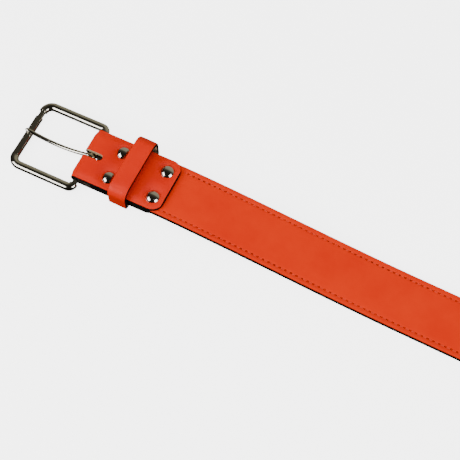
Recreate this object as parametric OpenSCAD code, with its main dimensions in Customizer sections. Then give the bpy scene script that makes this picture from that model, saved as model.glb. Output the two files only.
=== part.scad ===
// Leather belt with a single-prong roller buckle, lying straight with its chape raised on the keeper.
// Millimetres. +X runs from the buckle to the strap's tip, +Z is up, the belt rests on z = 0.

/* [Strap] */
// width across the leather
strap_width = 38; // [34:1:44]
// thickness of the coloured face layer
face_thickness = 1.8; // [1.4:0.1:2.2]
// thickness of the lining layer
lining_thickness = 1.8; // [1.4:0.1:2.2]
// distance from the fold to the pointed tip
strap_reach = 850; // [700:10:1200]
// radius of the two arcs that meet at the tip
tip_arc_radius = 34; // [30:1:40]
// length over which the raised strap settles onto the surface
settle_length = 170; // [120:5:220]
// radius of the punched holes
hole_radius = 2.25; // [1.8:0.05:2.6]
// distance between punched holes
hole_pitch = 25; // [20:1:30]
// number of punched holes
hole_count = 5; // [3:1:7]
// distance from the tip to the nearest punched hole
hole_inset = 95; // [80:1:130]

/* [Stitching] */
// distance from the edge to each stitch row
stitch_inset = 3.6; // [3:0.1:5]
// width of the laid thread
thread_width = 0.8; // [0.6:0.1:1]
// depth of the groove that holds the thread
groove_depth = 0.35; // [0.25:0.05:0.45]
// height of the needle thread above the face
thread_proud = 0.25; // [0.1:0.05:0.35]

/* [Chape] */
// thickness of the folded leather
chape_thickness = 2.4; // [2:0.1:2.8]
// length of the upper flap from the fold
upper_flap = 65; // [62:1:72]
// length of the lower flap from the fold
lower_flap = 62; // [61.5:0.5:66]
// corner radius of both flaps
flap_corner = 7.5; // [5:0.5:9]
// width of the prong slot
slot_width = 4.8; // [4.6:0.1:6]
// how far the prong slot reaches from the fold
slot_reach = 12.4; // [12.4:0.1:13.4]
// height of the lower flap above the surface, at the flap end
chape_lift = 4.9; // [4.6:0.1:5.2]
// angle by which the chape dips towards the buckle
chape_dip = 3.3; // [0:0.1:3.4]

/* [Rivets] */
// radius of the domed caps and back flanges
rivet_radius = 4.6; // [4:0.1:4.8]
// height of the dome
dome_height = 2.5; // [1.8:0.1:3]
// distance of each rivet from the centreline
rivet_offset = 10; // [8:0.5:11]
// distance from the fold to the pair beside the buckle
buckle_rivets = 24.3; // [23:0.1:25]
// distance from the fold to the pair beside the flap end
strap_rivets = 56.7; // [56:0.1:57.2]
// radius of the rivet shank
shank_radius = 1.48; // [1.2:0.02:1.6]
// thickness of the flange at the back
flange_thickness = 0.9; // [0.6:0.1:1]

/* [Keeper] */
// width of the keeper along the strap
keeper_width = 13; // [10:0.5:14]
// thickness of the keeper leather
keeper_thickness = 2.2; // [1.8:0.1:2.4]
// outer height of the loop
keeper_height = 20; // [19.5:0.5:23]
// inner clearance beside the near edge of the strap
keeper_near_gap = 0.5; // [0.4:0.1:2]
// inner clearance beside the far edge of the strap
keeper_far_gap = 3.4; // [1:0.1:3.6]
// outer radius of the two upper corners
keeper_top_corner = 7.5; // [4:0.5:8]
// outer radius of the two lower corners
keeper_low_corner = 3; // [2.6:0.1:4]

/* [Buckle] */
// radius of the bar that the chape folds round
pivot_radius = 1.75; // [1.6:0.01:1.75]
// distance from the pivot bar to the front bar
buckle_length = 46; // [44:0.5:50]
// distance of each side bar from the centreline
side_bar_offset = 24.1; // [24:0.1:26]
// how far the buckle rests off the strap's centreline, towards -y
buckle_shift = 1.5; // [0:0.1:1.5]
// radius of the side bars and corners
side_bar_radius = 2.8; // [2.2:0.1:2.8]
// centreline radius of the front corners
front_corner = 6; // [4:0.5:8]
// centreline radius of the corners beside the pivot bar
heel_corner = 3.2; // [3:0.1:3.3]
// radius of the front bar
front_bar_radius = 1.85; // [1.5:0.05:1.9]
// outer radius of the roller
roller_radius = 2.6; // [2.5:0.05:2.8]
// length of the roller
roller_length = 30.6; // [26:0.2:32]

/* [Prong] */
// radius of the prong wire
prong_radius = 1.3; // [1.1:0.05:1.35]
// centreline radius of the eye round the pivot bar
eye_radius = 3.05; // [2.9:0.05:3.1]
// slope at which the wire leaves the eye, in degrees
leave_angle = 20; // [12:1:20]
// how far the eye rests off the strap's centreline, towards -y
prong_shift = 0.65; // [0:0.05:0.7]
// angle in plan between the wire and the strap's length
prong_skew = 1.5; // [0:0.1:1.6]
// angle of the tip's wrap over the roller
wrap_angle = 38; // [20:1:40]

/* [Hidden] */
$fn = 64;
running_gap = 0.05;
seat_gap = 0.02;
body_gap = 0.3;
dip_slack = 0.15;
over = 1;
curve_steps = 34;
half_width = strap_width / 2;
strap_thickness = face_thickness + lining_thickness;
fold_radius = strap_thickness / 2 + chape_thickness;
pivot_x = fold_radius;
pivot_z = chape_lift + fold_radius;
pivot_dx = pivot_x - upper_flap;
pivot_at_x = upper_flap + pivot_dx * cos(chape_dip) - fold_radius * sin(chape_dip);
pivot_at_z = chape_lift + pivot_dx * sin(chape_dip) + fold_radius * cos(chape_dip);
bore_radius = pivot_radius + running_gap;
strap_base = chape_lift + chape_thickness;
flap_top = strap_base + strap_thickness + chape_thickness;
strap_start = slot_reach + 2;
tip_side = tip_arc_radius - half_width;
tip_length = sqrt(pow(tip_arc_radius, 2) - pow(tip_side, 2));
tip_start = strap_reach - tip_length;
thread_start = upper_flap - 3;
thread_end = tip_start + 4;
row_y = half_width - stitch_inset;
first_hole = strap_reach - hole_inset - (hole_count - 1) * hole_pitch;
rest_radius = max(roller_radius, side_bar_radius);
pitch_angle = asin((pivot_at_z - rest_radius) / buckle_length);
front_x = pivot_at_x - buckle_length * cos(pitch_angle);
origin_x = (front_x - rest_radius + strap_reach) / 2;
keeper_x = buckle_rivets + rivet_radius + body_gap + dip_slack;
keeper_near = half_width + keeper_near_gap + keeper_thickness;
keeper_far = half_width + keeper_far_gap + keeper_thickness;
cap_wall = 0.9;
dome_radius = (pow(rivet_radius, 2) + pow(dome_height, 2)) / (2 * dome_height);
shank_top = flap_top + dome_height - cap_wall;
straight_half = side_bar_offset - front_corner;
roller_y = -straight_half + body_gap + roller_length / 2;
prong_rest = roller_radius + body_gap + prong_radius;
eye_side = 90 + leave_angle;
// radius of the shallow bow that is tangent to the eye and clears the roller
bow_radius = (pow(buckle_length, 2) + pow(eye_radius, 2) - pow(prong_rest, 2)
    + 2 * eye_radius * buckle_length * cos(eye_side))
    / (2 * (prong_rest - eye_radius - buckle_length * cos(eye_side)));
bow_x = (eye_radius + bow_radius) * cos(eye_side);
bow_z = (eye_radius + bow_radius) * sin(eye_side);
wrap_side = atan2(bow_z, bow_x + buckle_length);
lap = 0.4;
lap_step = 0.05;
tip_cone = 0.9;

// part to draw

leather = [0.86, 0.28, 0.08];
raw_leather = [0.72, 0.58, 0.38];
thread = [0.85, 0.35, 0.1];
nickel = [0.6, 0.58, 0.52];

// share of the lift still left at a station along the strap
function settle(x) =
    let (s = min(1, max(0, (x - upper_flap) / settle_length)))
    1 - s * s * (3 - 2 * s);

// height of the strap's underside at a station: dipping inside the chape, settling beyond it
function strap_z(x) =
    (strap_base + seat_gap) * settle(x) - max(0, upper_flap - x) * tan(chape_dip);

// stations along the strap between two ends, closely spaced only where it curves
function stations(from, to) =
    concat([from],
        [for (i = [0 : curve_steps])
            let (x = upper_flap + settle_length * i / curve_steps)
            if (x > from && x < to) x],
        [to]);

// side outline of a layer that lies between two heights above the strap's underside
function layer_outline(from, to, low, high) =
    let (xs = stations(from, to))
    concat([for (x = xs) [x, strap_z(x) + low]],
        [for (i = [len(xs) - 1 : -1 : 0]) [xs[i], strap_z(xs[i]) + high]]);

// moves the drawing frame to the centre of the resting footprint
module belt_origin() {
    translate([-origin_x, buckle_shift, 0])
        children();
}

// drawing frame of the chape, dipped about the flap end
module chape_frame() {
    translate([upper_flap, 0, chape_lift])
        rotate([0, -chape_dip, 0])
            translate([-upper_flap, 0, -chape_lift])
                children();
}

// layer of the strap, centred on y
module layer(from, to, low, high, width, y = 0) {
    translate([0, y + width / 2, 0])
        rotate([90, 0, 0])
            linear_extrude(height = width)
                polygon(layer_outline(from, to, low, high));
}

// plan of the whole strap with its pointed tip
module strap_plan() {
    intersection() {
        translate([tip_start, -tip_side])
            circle(r = tip_arc_radius, $fn = 180);
        translate([tip_start, tip_side])
            circle(r = tip_arc_radius, $fn = 180);
        translate([tip_start - over, -half_width])
            square([tip_length + 2 * over, strap_width]);
    }
    translate([strap_start, -half_width])
        square([tip_start - strap_start, strap_width]);
}

// four stations where the rivets pass through
module rivet_stations() {
    for (x = [buckle_rivets, strap_rivets])
        for (side = [-1, 1])
            translate([x, side * rivet_offset, 0])
                children();
}

// holes for the rivet shanks
module rivet_holes() {
    rivet_stations()
        translate([0, 0, -over])
        cylinder(r = shank_radius + 0.1, h = flap_top + 2 * over, $fn = 32);
}

// row of punched holes
module punched_holes() {
    for (i = [0 : hole_count - 1])
        translate([first_hole + i * hole_pitch, 0, -over])
            cylinder(r = hole_radius, h = strap_thickness + 2 * over, $fn = 48);
}

// one layer of strap leather, cut to plan and punched
module strap_leather(low, high) {
    difference() {
        intersection() {
            layer(strap_start, strap_reach, low, high, strap_width + 2 * over);
            translate([0, 0, -over])
                linear_extrude(height = flap_top + 2 * over)
                    strap_plan();
        }
        punched_holes();
        chape_frame()
            rivet_holes();
        for (side = [-1, 1])
            children(side < 0 ? 0 : 1);
    }
}

module strap_face() {
    color(leather)
        belt_origin()
            strap_leather(lining_thickness, strap_thickness) {
                layer(thread_start, thread_end, strap_thickness - groove_depth,
                    strap_thickness + over, thread_width, -row_y);
                layer(thread_start, thread_end, strap_thickness - groove_depth,
                    strap_thickness + over, thread_width, row_y);
            }
}

module strap_lining() {
    color(raw_leather)
        belt_origin()
            strap_leather(0, lining_thickness) {
                layer(thread_start, thread_end, -over, groove_depth, thread_width, -row_y);
                layer(thread_start, thread_end, -over, groove_depth, thread_width, row_y);
            }
}

// thread laid in the face groove, standing a little proud of the leather beyond the flap
module needle_thread(side) {
    color(thread)
        belt_origin() {
            layer(thread_start + seat_gap, thread_end - seat_gap, strap_thickness - groove_depth,
                strap_thickness, thread_width, side * row_y);
            layer(upper_flap + body_gap, thread_end - seat_gap, strap_thickness - over / 10,
                strap_thickness + thread_proud, thread_width, side * row_y);
        }
}

// thread laid in the lining groove, just inside the resting surface
module bobbin_thread(side) {
    color(thread)
        belt_origin()
            layer(thread_start + seat_gap, thread_end - seat_gap, seat_gap, groove_depth,
                thread_width, side * row_y);
}

module needle_thread_far() {
    needle_thread(1);
}

module needle_thread_near() {
    needle_thread(-1);
}

module bobbin_thread_far() {
    bobbin_thread(1);
}

module bobbin_thread_near() {
    bobbin_thread(-1);
}

// plan of one flap with rounded free corners
module flap_plan(reach) {
    translate([pivot_x, -half_width])
        square([reach - flap_corner - pivot_x, strap_width]);
    translate([reach - flap_corner - over, -half_width + flap_corner])
        square([flap_corner + over, strap_width - 2 * flap_corner]);
    for (side = [-1, 1])
        translate([reach - flap_corner, side * (half_width - flap_corner)])
            circle(r = flap_corner);
}

// slot that lets the prong swing, round at its end
module prong_slot() {
    translate([slot_reach - slot_width / 2, 0, -over])
        cylinder(d = slot_width, h = flap_top + 2 * over);
    translate([-over, -slot_width / 2, -over])
        cube([slot_reach - slot_width / 2 + over, slot_width, flap_top + 2 * over]);
}

module chape() {
    color(leather)
        belt_origin()
            chape_frame()
                difference() {
                    union() {
                        translate([pivot_x, half_width, pivot_z])
                            rotate([90, 0, 0])
                                cylinder(r = fold_radius, h = strap_width, $fn = 96);
                        translate([0, 0, chape_lift])
                            linear_extrude(height = chape_thickness)
                                flap_plan(lower_flap);
                        translate([0, 0, flap_top - chape_thickness])
                            linear_extrude(height = chape_thickness)
                                flap_plan(upper_flap);
                    }
                    translate([pivot_x, half_width + over, pivot_z])
                        rotate([90, 0, 0])
                            cylinder(r = bore_radius, h = strap_width + 2 * over, $fn = 64);
                    translate([pivot_x, -half_width - over, strap_base])
                        cube([upper_flap, strap_width + 2 * over, strap_thickness + 2 * seat_gap]);
                    prong_slot();
                    rivet_holes();
                }
}

// section of the keeper loop, in y and z
module keeper_section(inset) {
    top = keeper_top_corner - inset;
    low = keeper_low_corner - inset;
    near = -keeper_near + inset;
    far = keeper_far - inset;
    floor_z = inset;
    roof_z = keeper_height - inset;
    translate([near, floor_z + low])
        square([far - near, roof_z - top - floor_z - low]);
    translate([near + low, floor_z])
        square([far - near - 2 * low, low + over]);
    translate([near + top, roof_z - top - over])
        square([far - near - 2 * top, top + over]);
    for (y = [near + top, far - top])
        translate([y, roof_z - top])
            circle(r = top);
    for (y = [near + low, far - low])
        translate([y, floor_z + low])
            circle(r = low);
}

module keeper() {
    color(leather)
        belt_origin()
            translate([keeper_x, 0, 0])
                rotate([90, 0, 90])
                    linear_extrude(height = keeper_width)
                        difference() {
                            keeper_section(0);
                            keeper_section(keeper_thickness);
                        }
}

// domed cap with a blind socket for the shank
module rivet_cap(x, side) {
    color(nickel)
        belt_origin()
            chape_frame()
                translate([x, side * rivet_offset, flap_top + seat_gap])
                    difference() {
                        rotate_extrude($fn = 64)
                            intersection() {
                                translate([0, dome_height - dome_radius])
                                    circle(r = dome_radius, $fn = 96);
                                square([rivet_radius, dome_height]);
                            }
                        translate([0, 0, -over])
                            cylinder(r = shank_radius + seat_gap, h = dome_height - cap_wall + over,
                                $fn = 32);
                    }
}

// shank with its back flange
module rivet_post(x, side) {
    color(nickel)
        belt_origin()
            chape_frame()
                translate([x, side * rivet_offset, 0]) {
                    translate([0, 0, chape_lift - flange_thickness - seat_gap])
                        cylinder(r = rivet_radius, h = flange_thickness, $fn = 64);
                    translate([0, 0, chape_lift - flange_thickness])
                        cylinder(r = shank_radius, h = shank_top - chape_lift + flange_thickness,
                            $fn = 32);
                }
}

module rivet_cap_buckle_far() {
    rivet_cap(buckle_rivets, 1);
}

module rivet_cap_buckle_near() {
    rivet_cap(buckle_rivets, -1);
}

module rivet_cap_strap_far() {
    rivet_cap(strap_rivets, 1);
}

module rivet_cap_strap_near() {
    rivet_cap(strap_rivets, -1);
}

module rivet_post_buckle_far() {
    rivet_post(buckle_rivets, 1);
}

module rivet_post_buckle_near() {
    rivet_post(buckle_rivets, -1);
}

module rivet_post_strap_far() {
    rivet_post(strap_rivets, 1);
}

module rivet_post_strap_near() {
    rivet_post(strap_rivets, -1);
}

// the buckle's own frame: origin on the pivot bar, front bar towards -x, laid over by its pitch
module buckle_pose() {
    belt_origin()
        translate([pivot_at_x, -buckle_shift, pivot_at_z])
            rotate([0, -pitch_angle, 0])
                children();
}

// straight round bar along y
module cross_bar(radius, length, x, y = 0) {
    translate([x, y + length / 2, 0])
        rotate([90, 0, 0])
            cylinder(r = radius, h = length, $fn = 64);
}

// quarter ring that joins a side bar to a cross bar
module corner(bend, x, y, turn) {
    translate([x, y, 0])
        rotate([0, 0, turn])
            rotate_extrude(angle = 90, $fn = 96)
                translate([bend, 0])
                    circle(r = side_bar_radius, $fn = 64);
}

module buckle_frame() {
    color(nickel)
        buckle_pose() {
            cross_bar(pivot_radius, 2 * (side_bar_offset - heel_corner) + over, 0);
            cross_bar(front_bar_radius, 2 * straight_half + over, -buckle_length);
            for (side = [-1, 1]) {
                translate([-heel_corner, side * side_bar_offset, 0])
                    rotate([0, -90, 0])
                        cylinder(r = side_bar_radius, h = buckle_length - heel_corner - front_corner,
                            $fn = 64);
                corner(heel_corner, -heel_corner, side * (side_bar_offset - heel_corner),
                    side > 0 ? 0 : -90);
                corner(front_corner, -buckle_length + front_corner, side * straight_half,
                    side > 0 ? 90 : 180);
            }
        }
}

module buckle_roller() {
    color(nickel)
        buckle_pose()
            difference() {
                cross_bar(roller_radius, roller_length, -buckle_length, roller_y);
                cross_bar(front_bar_radius + running_gap, roller_length + 2 * over, -buckle_length,
                    roller_y);
            }
}

// arc of round wire in the buckle's side view, turning about a point from one bearing by an angle
module wire_arc(x, z, bend, from, turn, radius) {
    translate([x, 0, z])
        rotate([90, 0, 0])
            rotate([0, 0, from])
                rotate_extrude(angle = turn, $fn = 96)
                    translate([bend, 0])
                        circle(r = radius, $fn = 48);
}

// bowed wire from the eye to the roller, then wrapped over it; each stretch starts inside
// the one before and is a hair thinner, so that they join cleanly
module prong_wire() {
    bow_lap = 180 * lap / (PI * bow_radius);
    wrap_lap = 180 * lap / (PI * prong_rest);
    bow_start = eye_side + 180;
    bow_turn = wrap_side + 180 - bow_start;
    wire_arc(bow_x, bow_z, bow_radius, bow_start + bow_lap, bow_turn - bow_lap, prong_radius);
    wire_arc(-buckle_length, 0, prong_rest, wrap_side - wrap_lap, wrap_angle + wrap_lap,
        prong_radius - lap_step);
    translate([-buckle_length, 0, 0])
        rotate([90, 0, 0])
            rotate([0, 0, wrap_side + wrap_angle - wrap_lap / 2])
                translate([prong_rest, 0, 0])
                    rotate([-90, 0, 0])
                        cylinder(r1 = prong_radius - 2 * lap_step, r2 = prong_radius / 2,
                            h = lap / 2 + tip_cone, $fn = 48);
}

module buckle_prong() {
    color(nickel)
        buckle_pose()
            translate([0, buckle_shift - prong_shift, 0])
                difference() {
                    rotate([0, 0, prong_skew]) {
                        wire_arc(0, 0, eye_radius, 0, 360, prong_radius + lap_step);
                        prong_wire();
                    }
                    cross_bar(bore_radius, 4 * prong_radius, 0);
                }
}

strap_face();
strap_lining();
needle_thread_far();
needle_thread_near();
bobbin_thread_far();
bobbin_thread_near();
chape();
keeper();
rivet_cap_buckle_far();
rivet_cap_buckle_near();
rivet_cap_strap_far();
rivet_cap_strap_near();
rivet_post_buckle_far();
rivet_post_buckle_near();
rivet_post_strap_far();
rivet_post_strap_near();
buckle_frame();
buckle_roller();
buckle_prong();
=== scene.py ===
import math

import bpy
import numpy as np
from mathutils import Matrix, Vector


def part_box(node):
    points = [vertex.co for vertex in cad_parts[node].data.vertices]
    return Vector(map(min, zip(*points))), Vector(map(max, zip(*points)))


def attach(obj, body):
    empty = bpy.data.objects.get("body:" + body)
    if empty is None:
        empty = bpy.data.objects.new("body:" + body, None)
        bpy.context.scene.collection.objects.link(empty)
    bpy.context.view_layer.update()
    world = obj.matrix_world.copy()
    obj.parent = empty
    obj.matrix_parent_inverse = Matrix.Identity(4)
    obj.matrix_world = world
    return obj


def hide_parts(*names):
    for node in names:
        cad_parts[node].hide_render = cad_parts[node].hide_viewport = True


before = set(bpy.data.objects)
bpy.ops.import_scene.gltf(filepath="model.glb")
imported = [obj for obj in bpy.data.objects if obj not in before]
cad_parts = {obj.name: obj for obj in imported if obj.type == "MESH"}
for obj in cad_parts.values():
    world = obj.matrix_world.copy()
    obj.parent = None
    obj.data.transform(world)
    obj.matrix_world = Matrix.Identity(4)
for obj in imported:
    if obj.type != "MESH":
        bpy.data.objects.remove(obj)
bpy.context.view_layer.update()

# ---------------------------------------------------------------- sizes, in mm, x from the fold
STRAP_W, FACE_T, LINING_T = 38.0, 1.8, 1.8
REACH, TIP_R, SETTLE = 850.0, 34.0, 170.0
CHAPE_T, UPPER, LOWER, CORNER = 2.4, 65.0, 62.0, 7.5
SLOT_W, SLOT_X, LIFT, DIP = 4.8, 12.4, 4.9, math.radians(3.3)
HALF = STRAP_W / 2
STRAP_T = FACE_T + LINING_T
BASE = LIFT + CHAPE_T
PIVOT_X = STRAP_T / 2 + CHAPE_T
PIVOT_Z = LIFT + PIVOT_X
FLAP_TOP = BASE + STRAP_T + CHAPE_T
ROW_Y = HALF - 3.6
RIVETS = [(x, y) for x in (24.3, 56.7) for y in (-10.0, 10.0)]
HOLES = [655.0 + 25.0 * i for i in range(5)]
TIP_SIDE = TIP_R - HALF
TIP_START = REACH - math.sqrt(TIP_R ** 2 - TIP_SIDE ** 2)
# the CAD puts the origin in the middle of the whole belt
low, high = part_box("strap_face")
ORIGIN = np.array([REACH - high.x * 1000, -(low.y + high.y) * 500, 0])

rng = np.random.default_rng(7)


def row(points):
    """Points in mm from the fold, as metres in the CAD frame."""
    p = np.asarray(points, float)
    return (p - ORIGIN) / 1000


def ease(t):
    t = np.clip(t, 0, 1)
    return t * t * (3 - 2 * t)


def strap_z(x):
    return (BASE + 0.02) * (1 - ease((x - UPPER) / SETTLE)) - max(0, UPPER - x) * math.tan(DIP)


def dipped(points):
    """Turns points drawn on a level chape down towards the buckle."""
    p = np.array(points, float)
    x, z = p[:, 0] - UPPER, p[:, 2] - LIFT
    p[:, 0] = UPPER + x * math.cos(DIP) - z * math.sin(DIP)
    p[:, 2] = LIFT + x * math.sin(DIP) + z * math.cos(DIP)
    return p


# ---------------------------------------------------------------- node materials
def material(name):
    m = bpy.data.materials.new(name)
    m.use_nodes = True
    t = m.node_tree
    t.nodes.clear()
    out = t.nodes.new("ShaderNodeOutputMaterial")
    b = t.nodes.new("ShaderNodeBsdfPrincipled")
    t.links.new(b.outputs[0], out.inputs[0])
    return m, t, b


def add(t, kind, **sockets):
    n = t.nodes.new(kind)
    for k, v in sockets.items():
        n.inputs[k.replace("_", " ")].default_value = v
    return n


def noise(t, coord, scale, detail=4.0, rough=0.55):
    n = add(t, "ShaderNodeTexNoise", Scale=scale, Detail=detail, Roughness=rough)
    t.links.new(coord, n.inputs["Vector"])
    return n.outputs[0]


def ramp(t, value, stops):
    r = t.nodes.new("ShaderNodeValToRGB")
    e = r.color_ramp.elements
    while len(e) < len(stops):
        e.new(0.5)
    for i, (p, c) in enumerate(stops):
        e[i].position = p
        e[i].color = (*c, 1)
    t.links.new(value, r.inputs[0])
    return r.outputs[0]


def bump(t, b, height, strength, distance, before=None):
    n = add(t, "ShaderNodeBump", Strength=strength, Distance=distance)
    t.links.new(height, n.inputs["Height"])
    if before is not None:
        t.links.new(before, n.inputs["Normal"])
    t.links.new(n.outputs[0], b.inputs["Normal"])
    return n.outputs[0]


def leather(name, low, high, rough, grain=0.25, coat=0.15, spec=0.5):
    m, t, b = material(name)
    co = t.nodes.new("ShaderNodeTexCoord").outputs["Object"]
    t.links.new(ramp(t, noise(t, co, 55, 5), [(0.3, low), (0.7, high)]), b.inputs["Base Color"])
    t.links.new(ramp(t, noise(t, co, 160, 3), [(0.2, (rough - 0.06,) * 3), (0.8, (rough + 0.08,) * 3)]),
                b.inputs["Roughness"])
    b.inputs["Coat Weight"].default_value = coat
    b.inputs["Coat Roughness"].default_value = 0.3
    b.inputs["Specular IOR Level"].default_value = spec
    cell = add(t, "ShaderNodeTexVoronoi", Scale=1500.0, Randomness=1.0)
    t.links.new(co, cell.inputs["Vector"])
    first = bump(t, b, cell.outputs[0], grain, 0.0001)
    bump(t, b, noise(t, co, 420, 6, 0.6), grain, 0.0002, first)
    return m


def raw(name, low, high):
    m, t, b = material(name)
    co = t.nodes.new("ShaderNodeTexCoord").outputs["Object"]
    n = noise(t, co, 900, 8, 0.7)
    t.links.new(ramp(t, n, [(0.3, low), (0.7, high)]), b.inputs["Base Color"])
    b.inputs["Roughness"].default_value = 0.9
    b.inputs["Sheen Weight"].default_value = 0.2
    bump(t, b, n, 0.7, 0.0003)
    return m


def edge_paint(name):
    m, t, b = material(name)
    co = t.nodes.new("ShaderNodeTexCoord").outputs["Object"]
    n = noise(t, co, 500, 5)
    black = ramp(t, n, [(0.3, (0.004, 0.004, 0.004)), (0.75, (0.012, 0.011, 0.010))])
    t.links.new(black, b.inputs["Base Color"])
    b.inputs["Roughness"].default_value = 0.5
    b.inputs["Specular IOR Level"].default_value = 0.02
    bump(t, b, n, 0.3, 0.0002)
    return m


def nickel(name, tone, rough):
    m, t, b = material(name)
    co = t.nodes.new("ShaderNodeTexCoord").outputs["Object"]
    n = noise(t, co, 300, 6, 0.6)
    t.links.new(ramp(t, n, [(0.35, tuple(c * 0.93 for c in tone)), (0.7, tone)]), b.inputs["Base Color"])
    t.links.new(ramp(t, noise(t, co, 130, 4), [(0.3, (rough * 0.8,) * 3), (0.75, (rough * 1.35,) * 3)]),
                b.inputs["Roughness"])
    b.inputs["Metallic"].default_value = 1.0
    bump(t, b, n, 0.04, 0.0001)
    return m


def thread_material(name, low, high):
    m, t, b = material(name)
    co = t.nodes.new("ShaderNodeTexCoord").outputs["Object"]
    w = add(t, "ShaderNodeTexWave", Scale=900.0, Distortion=1.5)
    w.bands_direction = "DIAGONAL"
    t.links.new(co, w.inputs["Vector"])
    t.links.new(ramp(t, w.outputs[0], [(0.1, low), (0.7, high)]), b.inputs["Base Color"])
    b.inputs["Roughness"].default_value = 0.55
    bump(t, b, w.outputs[0], 0.5, 0.0002)
    return m


STRAP_SKIN = leather("strap_skin", (0.84, 0.024, 0.0), (0.92, 0.032, 0.0), 0.5, coat=0.0, spec=0.06)
CHAPE_SKIN = leather("chape_skin", (0.80, 0.016, 0.0), (0.88, 0.024, 0.0), 0.36, coat=0.0, spec=0.22)
LINING_SKIN = raw("lining_skin", (0.42, 0.27, 0.14), (0.55, 0.38, 0.22))
# the chape's inner faces: a near-black copy of the raw flesh side, painted shade where the fold hides them
INNER_SHADE_SKIN = raw("inner_skin_painted_shade", (0.035, 0.024, 0.014), (0.07, 0.05, 0.03))
RAW_SKIN = raw("raw_skin", (0.46, 0.32, 0.15), (0.62, 0.46, 0.25))
PAINT = edge_paint("edge_paint")
# near-black edge paint for the needle holes, painted shade standing in for the dark down each hole
HOLE_SHADE = edge_paint("needle_hole_painted_shade")
THREAD = thread_material("thread", (0.70, 0.025, 0.0), (0.90, 0.045, 0.002))
BOBBIN = thread_material("bobbin", (0.60, 0.09, 0.02), (0.78, 0.15, 0.05))
NICKEL = nickel("nickel", (0.60, 0.575, 0.50), 0.13)
NICKEL_CAP = nickel("nickel_cap", (0.68, 0.66, 0.60), 0.10)


# ---------------------------------------------------------------- mesh builders
def mesh_object(name, verts, faces, face_mats, mats, sharp=50):
    me = bpy.data.meshes.new(name)
    me.from_pydata([tuple(v) for v in verts], [], faces)
    for m in mats:
        me.materials.append(m)
    me.polygons.foreach_set("material_index", face_mats)
    me.polygons.foreach_set("use_smooth", [True] * len(faces))
    me.update()
    me.set_sharp_from_angle(angle=math.radians(sharp))
    ob = bpy.data.objects.new(name, me)
    bpy.context.scene.collection.objects.link(ob)
    return ob


def sweep(name, rings, classes, mats, closed=False, cap=1, painted=()):
    """Skins rings of equal length; classes gives the material of each strip round a ring.
    The rings in painted are edge paint on every strip but the back."""
    n = len(rings[0])
    verts = np.concatenate([row(r) for r in rings])
    faces, which = [], []
    pairs = [(i, i + 1) for i in range(len(rings) - 1)]
    if closed:
        pairs.append((len(rings) - 1, 0))
    for a, b in pairs:
        for k in range(n):
            q = (k + 1) % n
            faces.append((a * n + k, a * n + q, b * n + q, b * n + k))
            which.append(1 if a in painted and classes[k] == 0 else classes[k])
    if not closed:
        faces.append(tuple(range(n))[::-1])
        faces.append(tuple((len(rings) - 1) * n + k for k in range(n)))
        which += [cap, cap]
    return mesh_object(name, verts, faces, which, mats)


ARC = 5


def section(w, low, high, r_low, r_high, across, paint=2, near=4):
    """One ring of a strap's section as (y, h) and its strip classes: 0 face, 1 edge, 2 back.
    across runs from -1 to 1 and places the points along both faces; paint and near are how far round
    its far and near upper corners the edge paint reaches, out of four."""
    r_low, r_high = min(r_low, w * 0.9), min(r_high, w * 0.9)
    pts, cls = [], []
    for u in across:
        pts.append((u * (w - r_low), low))
        cls.append(2)
    for i in range(1, ARC):
        a = math.pi / 2 * i / (ARC - 1)
        pts.append((w - r_low + r_low * math.sin(a), low + r_low - r_low * math.cos(a)))
        cls.append(1)
    for i in range(ARC):
        a = math.pi / 2 * i / (ARC - 1)
        pts.append((w - r_high + r_high * math.cos(a), high - r_high + r_high * math.sin(a)))
        cls.append(1 if i < paint else 0)
    for u in across[::-1][1:]:
        pts.append((u * (w - r_high), high))
        cls.append(0)
    for i in range(1, ARC):
        a = math.pi / 2 * i / (ARC - 1)
        pts.append((-w + r_high - r_high * math.sin(a), high - r_high + r_high * math.cos(a)))
        cls.append(0 if i < ARC - near else 1)
    for i in range(ARC - 1):
        a = math.pi / 2 * i / (ARC - 1)
        pts.append((-w + r_low - r_low * math.cos(a), low + r_low - r_low * math.sin(a)))
        cls.append(1)
    return np.array(pts), cls


def cut(ob, cutters):
    """Cuts holes; the walls of each hole take the cutter's own material."""
    for c in cutters:
        m = ob.modifiers.new("cut", "BOOLEAN")
        m.operation = "DIFFERENCE"
        m.solver = "EXACT"
        m.material_mode = "TRANSFER"
        m.object = c
    bpy.context.view_layer.update()
    ev = ob.evaluated_get(bpy.context.evaluated_depsgraph_get())
    me = bpy.data.meshes.new_from_object(ev)
    ob.modifiers.clear()
    old = ob.data
    ob.data = me
    bpy.data.meshes.remove(old)
    for c in cutters:
        bpy.data.objects.remove(c)
    ob.data.set_sharp_from_angle(angle=math.radians(40))
    return ob


def plug(x0, x1, width, z0, z1, mat):
    """A capsule-shaped cutter between two x stations."""
    r, outline = width / 2, []
    for cx, start in ((x1 - r, -90), (x0 + r, 90)):
        for i in range(17):
            a = math.radians(start + 180 * i / 16)
            outline.append((cx + r * math.cos(a), r * math.sin(a)))
    n = len(outline)
    verts = row([(x, y, z) for z in (z0, z1) for x, y in outline])
    faces = [tuple(range(n))[::-1], tuple(range(n, 2 * n))]
    faces += [(i, (i + 1) % n, n + (i + 1) % n, n + i) for i in range(n)]
    return mesh_object("plug", verts, faces, [0] * len(faces), [mat])


def set_piece(ob, body, slot, *nodes):
    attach(ob, body)
    if nodes:
        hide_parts(*nodes)
    return ob


# ---------------------------------------------------------------- strap
def tip_half_width(x):
    if x <= TIP_START:
        return HALF
    return max(0.25, math.sqrt(max(0, TIP_R ** 2 - (x - TIP_START) ** 2)) - TIP_SIDE)


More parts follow.
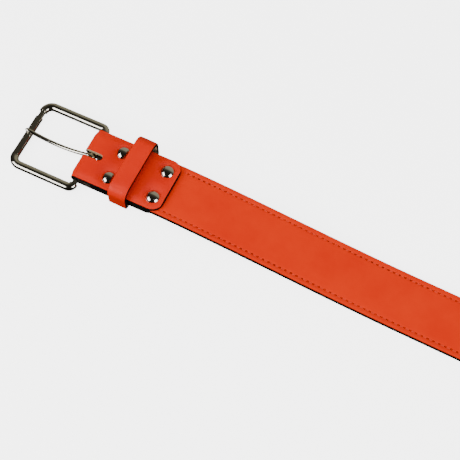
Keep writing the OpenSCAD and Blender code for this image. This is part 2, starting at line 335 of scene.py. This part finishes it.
# shares of the half width, closely spaced across the stitch groove
far_shares = [0.0, 0.2, 0.42, 0.62, 0.735, 0.775, 0.79, 0.803,
              0.816, 0.829, 0.842, 0.855, 0.87, 0.91, 0.96, 1.0]
STRAP_ACROSS = np.array([-u for u in far_shares[:0:-1]] + far_shares)
STRAP_START, CURVE_END = SLOT_X + 2, 240
round_tip = np.sin(np.linspace(0, math.pi / 2, 40)) ** 0.9
STRAP_STATIONS = np.concatenate([np.arange(STRAP_START, CURVE_END, 2.5),
                                 np.arange(CURVE_END, TIP_START - 1, 6.0),
                                 TIP_START + (REACH - TIP_START) * round_tip])


def strap_layer(name, low, high, r_low, r_high, mats, face):
    rings = []
    for x in STRAP_STATIONS:
        w = tip_half_width(x)
        p, cls = section(w, low, high, r_low, r_high, STRAP_ACROSS)
        y, h = p[:, 0], p[:, 1].copy()
        u = np.abs(y) / max(w, 0.3)
        row_u = ROW_Y / HALF
        groove = np.exp(-((u - row_u) * HALF / 0.55) ** 2) * 0.3 * min(1, w / 8)
        welt = 0.16 * np.exp(-((u - 0.91) * HALF / 1.2) ** 2) * min(1, w / 8)
        if face:
            top = h > high - r_high * 0.5
            h[top] += (welt - groove)[top]
            h[top] += 0.04 * np.sin(x / 23 + y[top] / 9) * (1 - u[top] ** 2)
        else:
            under = h < low + r_low * 0.5
            h[under] += (groove * 0.8)[under]
        rings.append(np.stack([np.full(len(y), x), y, h + strap_z(x)], 1))
    return sweep(name, rings, cls, mats)


FACE_MATERIALS = [STRAP_SKIN, PAINT, RAW_SKIN]
LINING_MATERIALS = [RAW_SKIN, PAINT, LINING_SKIN]
face = strap_layer("strap_face_leather", LINING_T, STRAP_T, 0.03, 0.3, FACE_MATERIALS, True)
lining = strap_layer("strap_lining_leather", 0.02, LINING_T, 0.2, 0.03, LINING_MATERIALS, False)
for ob in (face, lining):
    cut(ob, [plug(x - 2.25, x + 2.25, 4.5, -1, STRAP_T + 1, RAW_SKIN) for x in HOLES])
set_piece(face, "belt", "strap_leather", "strap_face")
set_piece(lining, "belt", "lining_leather", "strap_lining")

# ---------------------------------------------------------------- stitches
def stitch_row(name, y0, pitch, start, height, side, mats, node):
    """Separate stitches that dip into needle holes; side is 1 on the face and -1 underneath."""
    verts, faces, which = [], [], []
    rings, sides = 9, 8
    count = int((TIP_START + 3 - start) / pitch)
    for i in range(count):
        x0 = start + i * pitch
        tilt = rng.normal(0, 0.05)
        lift = rng.normal(0, 0.02)
        half = pitch * 0.41
        base = len(verts)
        for k in range(rings):
            s = -1 + 2 * k / (rings - 1)
            arch = 1 - abs(s) ** 3
            r = 0.4 * math.sqrt(max(0.05, 1 - s ** 4 * 0.55))
            x = x0 + s * half
            z = strap_z(x) + height + side * (-0.42 + 0.42 * arch + lift)
            for j in range(sides):
                a = 2 * math.pi * j / sides
                verts.append((x, y0 + tilt * s + r * math.cos(a), z + r * 0.75 * math.sin(a)))
        for k in range(rings - 1):
            for j in range(sides):
                q = (j + 1) % sides
                faces.append((base + k * sides + j, base + k * sides + q,
                              base + (k + 1) * sides + q, base + (k + 1) * sides + j))
                which.append(0)
        faces.append(tuple(base + j for j in range(sides))[::-1])
        faces.append(tuple(base + (rings - 1) * sides + j for j in range(sides)))
        which += [0, 0]
        # the needle hole between this stitch and the next: a shallow cone in near-black paint, painted
        # shade down the hole
        x, r = x0 + pitch / 2, 0.66
        base = len(verts)
        z = strap_z(x) + height + side * 0.17
        for j in range(10):
            a = 2 * math.pi * j / 10
            verts.append((x + r * math.cos(a), y0 + 0.9 * r * math.sin(a), z))
        verts.append((x, y0, z - side * 0.25))
        for j in range(10):
            q = (j + 1) % 10
            faces.append((base + j, base + q, base + 10) if side > 0 else (base + q, base + j, base + 10))
            which.append(1)
    ob = mesh_object(name, row(verts), faces, which, mats)
    return set_piece(ob, "belt", "thread", node)


FACE_SEAT, BACK_SEAT = STRAP_T - 0.28, 0.36
# name, y, distance between needle holes and first station of each row
STITCH_ROWS = [("far", ROW_Y, 3.85, UPPER + 2.0), ("near", -ROW_Y, 3.9, UPPER + 0.6)]
for name, y0, pitch, start in STITCH_ROWS:
    stitch_row("face_stitches_" + name, y0, pitch, start, FACE_SEAT, 1,
               [THREAD, HOLE_SHADE], "needle_thread_" + name)
for name, y0, pitch, start in STITCH_ROWS:
    stitch_row("back_stitches_" + name, y0, pitch, start, BACK_SEAT, -1,
               [BOBBIN, HOLE_SHADE], "bobbin_thread_" + name)

# ---------------------------------------------------------------- chape
INNER_R = STRAP_T / 2
top_len, arc_len, low_len = UPPER - PIVOT_X, math.pi * INNER_R, LOWER - PIVOT_X
TOTAL = top_len + arc_len + low_len


def fold_path(s):
    """Point on the inner surface, and the outward normal, at a distance along the chape."""
    if s < top_len:
        return np.array([UPPER - s, PIVOT_Z + INNER_R]), np.array([0.0, 1.0])
    if s < top_len + arc_len:
        a = math.pi / 2 + (s - top_len) / INNER_R
        n = np.array([math.cos(a), math.sin(a)])
        return np.array([PIVOT_X, PIVOT_Z]) + INNER_R * n, n
    return np.array([PIVOT_X + s - top_len - arc_len, PIVOT_Z - INNER_R]), np.array([0.0, -1.0])


def flap_half_width(d):
    return HALF if d >= CORNER else HALF - CORNER + math.sqrt(max(0, CORNER ** 2 - (CORNER - d) ** 2))


# distances along the chape, closest together at its rounded ends
end_steps = np.array([0, 0.06, 0.15, 0.28, 0.45, 0.7, 1.1, 1.7, 2.5, 3.5, 4.7, 6.0, 7.5])
chape_stations = np.unique(np.concatenate([
    end_steps, np.arange(8.5, top_len - 0.3, 1.0),
    top_len + np.linspace(-0.2, arc_len + 0.2, 27),
    np.arange(top_len + arc_len + 1, TOTAL - 8, 1.2), TOTAL - end_steps]))
chape_across = np.linspace(-1, 1, 49)
rings = []
for s in chape_stations:
    end = min(s, TOTAL - s)
    w = flap_half_width(end)
    r = 0.35
    drop = 0 if end >= r else r - math.sqrt(max(0, r * r - (r - end) ** 2))
    p, cls = section(w, drop * 0.4, CHAPE_T - drop, 0.3, r, chape_across)
    o, n = fold_path(s)
    y, h = p[:, 0], p[:, 1].copy()
    u = np.abs(y) / w
    upper = s < top_len + arc_len / 2
    x = o[0]
    # leather pulled down round each rivet and full between them
    near = np.min([np.hypot(x - rx, y - ry) for rx, ry in RIVETS], axis=0)
    full = (1 - np.exp(-(np.maximum(near - 3.2, 0) / 4.2) ** 2))
    fade = ease(end / 7) * ease((1 - u) * w / 5)
    outer = h > CHAPE_T * 0.55
    swell = (0.75 if upper else 0.35) * full * fade
    h[outer] += swell[outer]
    h[outer] -= (0.28 * np.exp(-(np.maximum(near - 4.4, 0) / 1.0) ** 2) * ease(end / 4))[outer] * 0.6
    pos = o[None, :] + n[None, :] * h[:, None]
    rings.append(dipped(np.stack([pos[:, 0], y, pos[:, 1]], 1)))
ends = set(np.nonzero(np.minimum(chape_stations, TOTAL - chape_stations) < 0.4)[0])
# the chape's back strips take the near-black inner skin, painted shade inside the fold and the slot
chape = sweep("chape_leather", rings, cls, [CHAPE_SKIN, PAINT, INNER_SHADE_SKIN], painted=ends)
# the slot is a little longer above than below the bar, where it only clears the prong's eye
TOP_SLOT_X, LOW_SLOT_X = SLOT_X + 1.2, 8.4
# the walls below the bar take near-black edge paint, painted shade that darkens the hole; above it they
# stay raw
cut(chape, [plug(-8, TOP_SLOT_X, SLOT_W, PIVOT_Z - 1.5, FLAP_TOP + 5, RAW_SKIN),
            plug(-8, LOW_SLOT_X, SLOT_W, -6, PIVOT_Z - 1, PAINT)])
set_piece(chape, "belt", "chape_leather", "chape")

# ---------------------------------------------------------------- keeper
KX, KW, KT, KH = 29.35, 13.0, 2.2, 20.0
K_NEAR, K_FAR, K_TOP, K_LOW = -(HALF + 0.5 + KT), HALF + 3.4 + KT, 7.5, 3.0


def loop_path(inset):
    """The keeper's rounded path, inset from its outside, with outward normals; starts underneath."""
    y0, y1, z0, z1 = K_NEAR, K_FAR, 0.0, KH
    corners = [(y1 - K_LOW, z0 + K_LOW, K_LOW, -90), (y1 - K_TOP, z1 - K_TOP, K_TOP, 0),
               (y0 + K_TOP, z1 - K_TOP, K_TOP, 90), (y0 + K_LOW, z0 + K_LOW, K_LOW, 180)]
    pts = []
    for i, (cy, cz, r, start) in enumerate(corners):
        for k in range(13):
            a = math.radians(start + 90 * k / 12)
            n = np.array([math.cos(a), math.sin(a)])
            pts.append((np.array([cy, cz]) + n * (r - inset), n))
        cy2, cz2, r2, start2 = corners[(i + 1) % 4]
        a = math.radians(start + 90)
        n = np.array([math.cos(a), math.sin(a)])
        p0, p1 = pts[-1][0], np.array([cy2, cz2]) + n * (r2 - inset)
        for k in range(1, 14):
            pts.append((p0 + (p1 - p0) * k / 14, n))
    return pts


rings = []
for o, n in loop_path(KT):
    p, cls = section(KW / 2, 0, KT, 0.25, 0.7, np.linspace(-1, 1, 15), near=3)
    v, h = p[:, 0], p[:, 1].copy()
    outer = h > KT * 0.6
    if o[1] > 4:
        h[outer] += 0.22 * (1 - (v[outer] / (KW / 2)) ** 4)
    # the section's own width runs along x here
    pos = o[None, :] + n[None, :] * h[:, None]
    rings.append(np.stack([KX + KW / 2 - v, pos[:, 0], pos[:, 1]], 1))
keeper = sweep("keeper_leather", rings, cls, [CHAPE_SKIN, PAINT, RAW_SKIN], closed=True)
set_piece(keeper, "keeper_loop", "chape_leather", "keeper")

# ---------------------------------------------------------------- metal
for n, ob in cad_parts.items():
    if n.startswith("rivet"):
        ob.data.materials.clear()
        ob.data.materials.append(NICKEL_CAP)
    elif n.startswith("buckle"):
        ob.data.materials.clear()
        ob.data.materials.append(NICKEL)

# ---------------------------------------------------------------- stage
m, t, b = material("floor_white")
co = t.nodes.new("ShaderNodeTexCoord").outputs["Object"]
pale = ramp(t, noise(t, co, 8, 3), [(0.3, (0.93, 0.93, 0.93)), (0.7, (0.95, 0.95, 0.95))])
t.links.new(pale, b.inputs["Base Color"])
b.inputs["Roughness"].default_value = 0.9
b.inputs["Specular IOR Level"].default_value = 0.0
b.inputs["Emission Color"].default_value = (1, 1, 1, 1)
b.inputs["Emission Strength"].default_value = 4.0
FLOOR_Z = -0.0004
floor = mesh_object("floor", [(-6, -6, FLOOR_Z), (6, -6, FLOOR_Z), (6, 6, FLOOR_Z), (-6, 6, FLOOR_Z)],
                    [(0, 1, 2, 3)], [0], [m])
# the object sees a dim room below the horizon, not the glowing floor
floor.visible_glossy = False
floor.visible_diffuse = False

world = bpy.data.worlds.new("studio")
bpy.context.scene.world = world
world.use_nodes = True
wt = world.node_tree
wt.nodes.clear()
wo = wt.nodes.new("ShaderNodeOutputWorld")
bg = wt.nodes.new("ShaderNodeBackground")
wt.links.new(bg.outputs[0], wo.inputs[0])
wc = wt.nodes.new("ShaderNodeTexCoord")
wz = wt.nodes.new("ShaderNodeSeparateXYZ")
wt.links.new(wc.outputs["Generated"], wz.inputs[0])
# a khaki wall behind the belt, the rest of the room dark
depth = wt.nodes.new("ShaderNodeMath")
depth.operation = "MULTIPLY_ADD"
depth.inputs[1].default_value = 0.5
depth.inputs[2].default_value = 0.5
wt.links.new(wz.outputs[1], depth.inputs[0])
wt.links.new(ramp(wt, depth.outputs[0], [(0.0, (0.012, 0.011, 0.009)), (0.5, (0.025, 0.023, 0.018)),
                                         (0.69, (0.07, 0.065, 0.05)), (0.82, (0.34, 0.32, 0.24)),
                                         (1.0, (0.40, 0.38, 0.29))]), bg.inputs[0])
bg.inputs[1].default_value = 1.0


def softbox(name, place, at, size, power):
    d = bpy.data.lights.new(name, "AREA")
    d.shape = "RECTANGLE"
    d.size, d.size_y = size
    d.energy = power
    o = bpy.data.objects.new(name, d)
    o.location = place
    o.rotation_euler = (Vector(at) - Vector(place)).to_track_quat("-Z", "Y").to_euler()
    bpy.context.scene.collection.objects.link(o)
    return o


FOCUS = Vector(row([108.65, -3.6, 0.0]))
overhead = softbox("overhead", FOCUS + Vector((-0.2, -0.15, 1.2)), FOCUS, (1.0, 1.0), 9.5)
# it lights the leather without showing in the metal
overhead.visible_glossy = False
softbox("left", FOCUS + Vector((-0.74, -0.68, 0.50)), FOCUS, (0.80, 0.55), 10)
softbox("right", FOCUS + Vector((1.0, -0.36, 0.47)), FOCUS, (0.75, 0.55), 9)

az, el, roll, focal, dist = math.radians(25.49), math.radians(66.83), math.radians(1.1), 1085.0, 0.7011
back = Vector((math.sin(az) * math.cos(el), -math.cos(az) * math.cos(el), math.sin(el)))
right = Vector((math.cos(az), math.sin(az), 0))
up = back.cross(right)
right, up = right * math.cos(roll) + up * math.sin(roll), up * math.cos(roll) - right * math.sin(roll)
cam = bpy.data.cameras.new("camera")
cam.sensor_width = 36
cam.lens = focal / 460 * 36
cam.clip_start, cam.clip_end = 0.01, 30
eye = bpy.data.objects.new("camera", cam)
eye.matrix_world = Matrix.Translation(FOCUS + back * dist) @ Matrix((right, up, back)).transposed().to_4x4()
bpy.context.scene.collection.objects.link(eye)
bpy.context.scene.camera = eye
